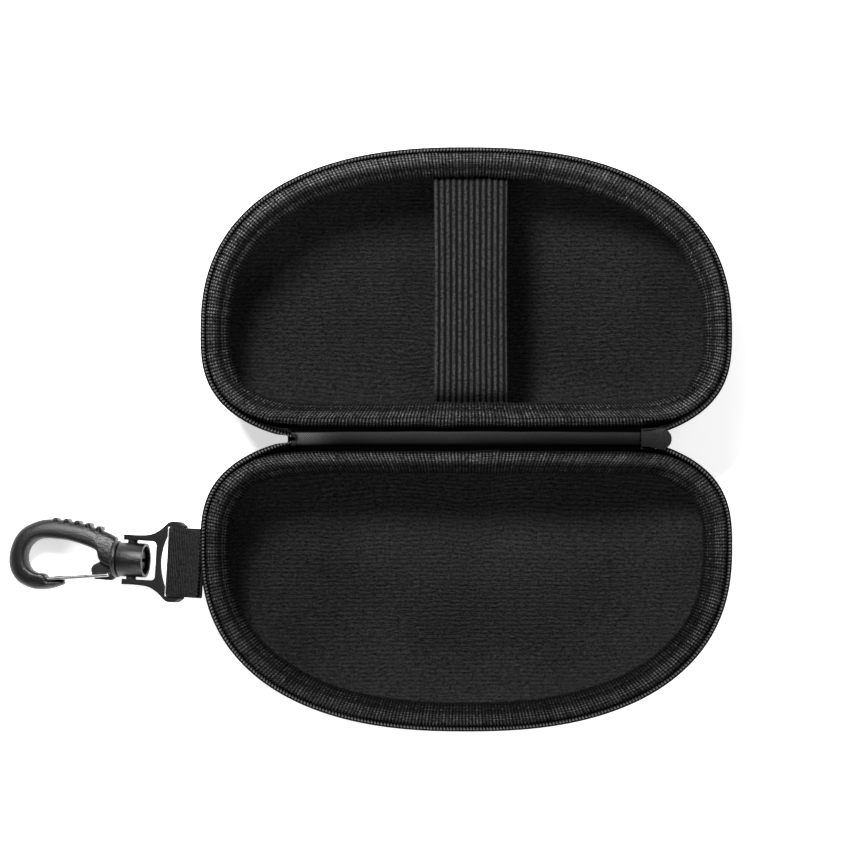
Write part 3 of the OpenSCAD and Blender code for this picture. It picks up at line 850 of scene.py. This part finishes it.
def hinge_strip():
    """Twill strip between the spines: a hump over the hinge line that goes out flat over the edge
    of each shell, in under its binding. One end runs on flat below the stops."""
    low, high = (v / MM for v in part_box("hinge_strip"))
    first, last = low.x - CASE_X, high.x - CASE_X
    crown = RIM_Z - high.z
    mirrored = [(-y, d) for y, d in STRIP_SIDE[:0:-1]]
    path = smooth_curve([(y, crown + d) for y, d in mirrored + STRIP_SIDE], 4)
    step = unit(np.gradient(path, axis=0))
    under = path + np.stack([-step[:, 1], step[:, 0]], -1) * STRIP_THICKNESS
    section = np.concatenate([path, under[::-1]])
    end_stations = np.linspace(first - FLAT_END_LENGTH, first - 0.1, 5)
    stations = np.concatenate([end_stations, np.linspace(first, last, 160)])
    flat_end = stations < first
    # it lies a little towards the lid, bowed, and rolls slowly from one edge to the other
    bow = np.clip(1 - (stations / 58.0) ** 2, 0, 1) + 0.1 * np.sin(stations * 0.31)
    roll = -0.15 + 0.12 * np.sin(stations * 0.085 + 0.6) + 0.05 * np.sin(stations * 0.5)
    top = np.clip(1 - (section[:, 1] - crown) / 1.15, 0, 1)
    y = section[None, :, 0] + bow[:, None] * top[None]
    depth = section[None, :, 1] - roll[:, None] * section[None, :, 0] * top[None]
    sink = (FLAT_DEPTH - path[:, 1]) * np.clip((2.5 - np.abs(path[:, 0])) / 0.4, 0, 1)
    depth = depth + flat_end[:, None] * np.concatenate([sink, sink[::-1]])[None]
    girth = run_along(section)
    # painted light: the lid side, which faces the light, is painted lighter, unevenly along its length and
    # with a painted highlight by the stops; the crown is painted lit, its sides and the flat end painted dark
    # as shade
    near_stops = 1.1 * np.exp(-(((stations - first - 2.0) / 7.0) ** 2))
    uneven = 0.6 + 0.2 * np.sin(stations * 0.055 + 2.0) + near_stops
    wear_and_painted_light = np.clip(uneven[:, None] + section[None, :, 0] / 4.0, 0.25, 2.0)
    painted_light = wear_and_painted_light * np.clip(top * 1.6, 0, 1)[None] * ~flat_end[:, None]
    weave = stacked(stations[:, None], girth[None], painted_light)
    strip = dress(sweep("hinge_twill", place(stations[:, None], y, depth, 1.0), weave=weave), "hinge_twill")
    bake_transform(strip)
    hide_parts("hinge_strip")


def slider_tab():
    """Stiff end of the zip's tapes, which fills the gap between the halves below the slider."""
    count, thickness = 12, 0.35
    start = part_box("slider_body")[0].x / MM - CASE_X
    stations = np.linspace(start - 0.2, start + 4.6, count)
    lower = FLAT_DEPTH + thickness
    section = np.array([
        [-1, FLAT_DEPTH], [0, FLAT_DEPTH], [1, FLAT_DEPTH], [1, lower], [0, lower], [-1, lower],
    ])
    # it widens as the halves draw apart
    half_width = np.linspace(2.6, 2.8, count)
    y = half_width[:, None] * section[None, :, 0]
    points = place(stations[:, None], y, section[None, :, 1], 1.0)
    tab = sweep("slider_tab", points, smooth=False, weave=stacked(stations[:, None], y))
    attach(dress(tab, "zip_tape"), "spine")


# ---------------------------------------------------------------- clip

V = Vector(joints["barrel_pivot"]["axis"])
HOOK_H = Vector(joints["hook_swivel"]["axis"])
HOOK_N = V.cross(HOOK_H)
TRUNNION = Vector(joints["barrel_pivot"]["pos_m"])
BAR = Vector(joints["frame_pivot"]["pos_m"])
ROOT = Vector(joints["strap_flex"]["pos_m"])
GATE = Vector(joints["gate_hinge"]["pos_m"])
GATE_U = 6.2
# The hook's points are measured from here
HOOK_START = TRUNNION + HOOK_H * ((GATE - TRUNNION).dot(HOOK_H) - GATE_U * MM)


def clip_points(points, origin, h, v, n):
    """Local [u, v, w] in millimetres to the row frame."""
    p = np.asarray(points, float) * MM
    return np.array(origin) + p[..., :1] * np.array(h) + p[..., 1:2] * np.array(v) + p[..., 2:] * np.array(n)


WEBBING_HALF_WIDTH, WEBBING_THICKNESS = 10.44, 1.1
BAR_RADIUS = 1.45
# Upper run of the webbing from its seam, as (u, w)
WEBBING_TOP = [(-3.2, 0.62), (-1.2, 0.62), (1.2, 0.72), (3.6, 1.15)]
# Section of the webbing, as shares of its half width and of its thickness
WEBBING_ACROSS = np.array([-1, -0.985, -0.94, -0.6, -0.2, 0.2, 0.6, 0.94, 0.985, 1])
WEBBING_BULGE = np.array([0.1, 0.36, 0.5, 0.52, 0.5, 0.5, 0.52, 0.5, 0.36, 0.1])


def webbing_strap():
    """Webbing doubled back round the frame's rear bar, its ends sewn in under the rim."""
    along = BAR - ROOT
    reach = along.length / MM
    h = along.normalized()
    eye = BAR_RADIUS + WEBBING_THICKNESS / 2
    turn = np.linspace(math.pi / 2 + 0.15, -math.pi / 2 - 0.15, 15)
    loop = [(reach + eye * math.cos(a), eye * math.sin(a)) for a in turn]
    path = smooth_curve(WEBBING_TOP + loop + [(u, -w) for u, w in WEBBING_TOP[::-1]], 6)
    run = run_along(path)
    even = np.arange(0, run[-1], 0.125)
    path = np.stack([np.interp(even, run, path[:, 0]), np.interp(even, run, path[:, 1])], -1)
    step = unit(np.gradient(path, axis=0))
    rib = 0.06 * np.abs(np.sin(math.pi * even / WEFT_PITCH))[:, None]
    across = np.concatenate([WEBBING_ACROSS, WEBBING_ACROSS[::-1]])[None] * WEBBING_HALF_WIDTH
    bulge = np.concatenate([WEBBING_BULGE, -WEBBING_BULGE[::-1]])[None]
    out = bulge * WEBBING_THICKNESS + np.sign(bulge) * rib
    points = stacked(path[:, :1] - step[:, 1:] * out, across, path[:, 1:] + step[:, :1] * out)
    placed = clip_points(points, ROOT, h, V, V.cross(h))
    strap = dress(sweep("webbing_strap", placed, weave=stacked(even[:, None], across)), "webbing")
    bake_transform(strap)
    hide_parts("webbing_loop")


# The hook's arm as outer edge, inner edge and half height, from its collar round to its nose
HOOK_PAIRS = [
    ((4.4, 6.6), (4.4, -3.2), 3.2), ((7.0, 7.8), (7.0, -2.5), 3.2), ((9.2, 8.5), (9.2, -0.9), 3.2),
    ((11.2, 9.1), (9.9, 1.7), 3.2), ((14.5, 10.1), (13.2, 3.2), 3.2), ((20, 10.8), (18.7, 4.6), 3.2),
    ((24.5, 11.1), (22.8, 5.0), 3.2), ((28.3, 10.7), (26.6, 5.1), 3.2), ((31.6, 9.5), (28.9, 4.7), 3.2),
    ((34.4, 7.8), (30.6, 3.7), 3.2), ((36.6, 5.1), (31.9, 2.2), 3.2), ((37.8, 2.0), (32.6, 0.2), 3.2),
    ((38.3, -1.4), (32.5, -1.9), 3.2), ((37.7, -4.9), (31.6, -3.8), 3.15), ((35.7, -7.9), (30.2, -4.9), 3.1),
    ((32.8, -9.6), (28.6, -5.4), 3.1), ((29.8, -10.4), (26.6, -5.5), 3.0), ((27.6, -10.4), (26.0, -6.2), 2.9),
    ((26.2, -10.3), (25.5, -7.7), 2.8), ((23.6, -9.8), (23.4, -7.8), 2.6), ((21.2, -8.9), (21.0, -7.8), 2.2),
    ((20.2, -8.3), (20.2, -7.9), 1.2),
]
ARM_SIDES, ARM_SQUARENESS, CREST_SHIFT = 28, 2.5, 0.4
# Outlines as (u, v), and their half heights
LUG = [(4.4, -2), (4.4, -5.9), (5.4, -6.6), (10.6, -6.5), (11.8, -4.4), (12, -3.3), (11.2, -2.1), (9, -1)]
NOSE = [(20.4, -8.3), (20.3, -6.4), (21.4, -5.9), (24, -6.3), (24.6, -7.0), (24.6, -8.3)]
LUG_HALF, NOSE_HALF = 1.0, 0.9
# Turned profiles as (u, radius)
COLLAR = [(3.1, 5.0), (3.25, 5.45), (3.5, 5.6), (4.3, 5.6), (4.6, 5.45), (4.8, 4.9)]
THUMB_RIB = [(-2.7, 0.1), (-2.55, 0.45), (-2.2, 0.75), (2.2, 0.75), (2.55, 0.45), (2.7, 0.1)]
THUMB_RIBS, THUMB_RIB_PITCH = 5, 3.5
STEM = [(4.4, 2.5), (-1.9, 2.5), (-2.0, 2.3)]
STEM_HEAD = [(-1.95, 3.4), (-2.2, 3.6), (-3.0, 3.35), (-3.4, 2.9)]
HEAD_SLOT_HALF = 0.5


def prism(outline, half):
    """Points and faces of an outline between two heights."""
    count = len(outline)
    points = [(u, v, -half) for u, v in outline] + [(u, v, half) for u, v in outline]
    faces = [list(range(count))[::-1], list(range(count, 2 * count))]
    faces += [[k, (k + 1) % count, count + (k + 1) % count, count + k] for k in range(count)]
    return points, faces


def lathe(profile, around=48):
    """Points and faces of a solid turned round the u axis from [u, radius] points."""
    a = circle(around)
    u, radius = np.array(profile).T[..., None]
    points = stacked(u, radius * np.cos(a), radius * np.sin(a))
    return points.reshape(-1, 3).tolist(), skin(len(profile), around)


def split_head(profile, side, around=20):
    """Points and faces of one half of a turned head that is split along its axis."""
    a = np.linspace(-math.pi / 2, math.pi / 2, around)
    u, radius = np.array(profile).T[..., None]
    v = HEAD_SLOT_HALF + (radius - HEAD_SLOT_HALF) * np.cos(a)
    points = stacked(u, side * v, radius * np.sin(a))
    return points.reshape(-1, 3).tolist(), skin(len(profile), around)


def joined(parts):
    """Points and faces of several parts as one."""
    points, faces = [], []
    for p, f in parts:
        first = len(points)
        points += [tuple(q) for q in p]
        faces += [[first + k for k in face] for face in f]
    return points, faces


def hook_arm():
    """Points and faces of the hook's arm. Its crest lies nearer to its inner edge."""
    outer = smooth_curve([p[0] for p in HOOK_PAIRS], 4)
    inner = smooth_curve([p[1] for p in HOOK_PAIRS], 4)
    high = smooth_curve([(p[2], 0) for p in HOOK_PAIRS], 4)[:, 0]
    a = circle(ARM_SIDES)
    across, up = signed_pow(np.cos(a), 2 / ARM_SQUARENESS), signed_pow(np.sin(a), 2 / ARM_SQUARENESS)
    across = across - CREST_SHIFT * np.abs(up) * (1 - across**2)
    middle, reach = (outer + inner) / 2, (outer - inner) / 2
    plan = middle[:, None] + reach[:, None] * across[None, :, None]
    arm = np.concatenate([plan, (high[:, None] * up[None])[..., None]], -1)
    return arm.reshape(-1, 3).tolist(), skin(len(arm), ARM_SIDES)


def thumb_rib(k):
    """Points and faces of one rib across the hook's back."""
    away = k * THUMB_RIB_PITCH
    u, v = 23.8 - away, 10.75 - 0.0095 * away**2
    points, faces = lathe(THUMB_RIB, 16)
    return [(u + q[1] * 1.1, v + q[2] * 1.15, q[0]) for q in points], faces


def hook():
    """Hook moulded in one piece with its thumb ribs, gate lug and nose, and its split stem."""
    parts = [hook_arm(), prism(LUG, LUG_HALF), prism(NOSE, NOSE_HALF), lathe(COLLAR)]
    parts += [thumb_rib(k) for k in range(THUMB_RIBS)]
    points, faces = joined(parts)
    body = new_object("hook_moulding", clip_points(points, HOOK_START, HOOK_H, V, HOOK_N), faces)
    remesh = body.modifiers.new("union", "REMESH")
    remesh.mode = "VOXEL"
    remesh.voxel_size = 0.2 * MM
    remesh.use_smooth_shade = True
    body.modifiers.new("soften", "SMOOTH").iterations = 4
    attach(dress(body, "clip_plastic"), "hook")
    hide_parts("hook_body")
    points, faces = joined([lathe(STEM), split_head(STEM_HEAD, 1.0), split_head(STEM_HEAD, -1.0)])
    stem = new_object("hook_stem", clip_points(points, TRUNNION, HOOK_H, V, HOOK_N), faces)
    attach(dress(stem, "clip_plastic"), "hook")


def show_cad(name, material, edge_width=None):
    """CAD node shown as it is, smooth, with its edges rounded a little where a width is given."""
    node = dress(frame["nodes"][name], material)
    node.data.polygons.foreach_set("use_smooth", [True] * len(node.data.polygons))
    if edge_width is None:
        return
    weld = node.modifiers.new("weld", "WELD")
    weld.merge_threshold = 0.002 * MM
    bevel = node.modifiers.new("edges", "BEVEL")
    bevel.width = edge_width * MM
    bevel.segments = 3
    bevel.limit_method = "ANGLE"
    bevel.angle_limit = math.radians(35)
    bevel.harden_normals = True


# ---------------------------------------------------------------- the object

for half_name in SIDES:
    half_shell(half_name)
    half_binding(half_name)
    coil_turns(half_name)
    half_tape(half_name)
    show_cad(half_name + "_top_stop", "slider_metal", 0.2)
elastic_band()
hinge_strip()
slider_tab()
webbing_strap()
hook()
show_cad("slider_body", "slider_metal", 0.22)
show_cad("bottom_stop", "slider_metal", 0.2)
show_cad("slider_pull", "slider_metal", 0.2)
show_cad("pull_grip", "grip_rubber", 0.5)
show_cad("clip_frame", "frame_plastic", 0.35)
show_cad("swivel_barrel", "clip_plastic", 0.4)
show_cad("wire_gate", "gate_steel")

# ---------------------------------------------------------------- floor, light and camera


def stage():
    """Plain floor that glows a little, so that shadows on it stay faint."""
    bpy.ops.mesh.primitive_plane_add(size=6, location=(0, 0, 0))
    floor = bpy.context.object
    floor.name = "floor"
    n = Nodes("floor_white")
    n.finish(grey(0.86), roughness=0.9, specular=0.2)
    n.feed(n.bsdf.inputs["Emission Color"], grey(1.0))
    n.feed(n.bsdf.inputs["Emission Strength"], 0.6)
    floor.data.materials.append(n.mat)


def add_aimed(name, data, at, target):
    """Lamp or camera at a point, turned towards another."""
    obj = bpy.data.objects.new(name, data)
    bpy.context.scene.collection.objects.link(obj)
    obj.location = at
    obj.rotation_mode = "QUATERNION"
    obj.rotation_quaternion = (Vector(target) - Vector(at)).to_track_quat("-Z", "Y")
    return obj


def area_light(name, at, target, size, power):
    data = bpy.data.lights.new(name, "AREA")
    data.shape = "RECTANGLE"
    data.size, data.size_y = size
    data.energy = power
    add_aimed(name, data, at, target)


def light():
    world = bpy.data.worlds.new("studio")
    world.use_nodes = True
    back = world.node_tree.nodes["Background"]
    back.inputs["Color"].default_value = grey(1.0)
    back.inputs["Strength"].default_value = 0.14
    bpy.context.scene.world = world
    bpy.context.scene.view_settings.view_transform = "Standard"
    area_light("key", at=(-0.4, 0.7, 1.0), target=(0.0, 0.0, 0.02), size=(0.34, 0.34), power=35.0)
    area_light("fill", at=(-0.15, -1.1, 0.6), target=(-0.03, 0.02, 0.02), size=(0.5, 0.16), power=11.0)
    area_light("side", at=(0.8, 0.3, 1.1), target=(0.0, 0.0, 0.02), size=(0.9, 0.9), power=7.0)


def camera():
    """Camera almost straight above, at the photo's framing."""
    aim = Vector((CASE_X - 10.9, 2.7, RIM_Z)) * MM
    elevation, distance = math.radians(89), 2.0
    data = bpy.data.cameras.new("camera")
    data.sensor_width = 36
    data.lens = 278.7
    at = aim + distance * Vector((0, -math.cos(elevation), math.sin(elevation)))
    bpy.context.scene.camera = add_aimed("camera", data, at, aim)


stage()
light()
camera()
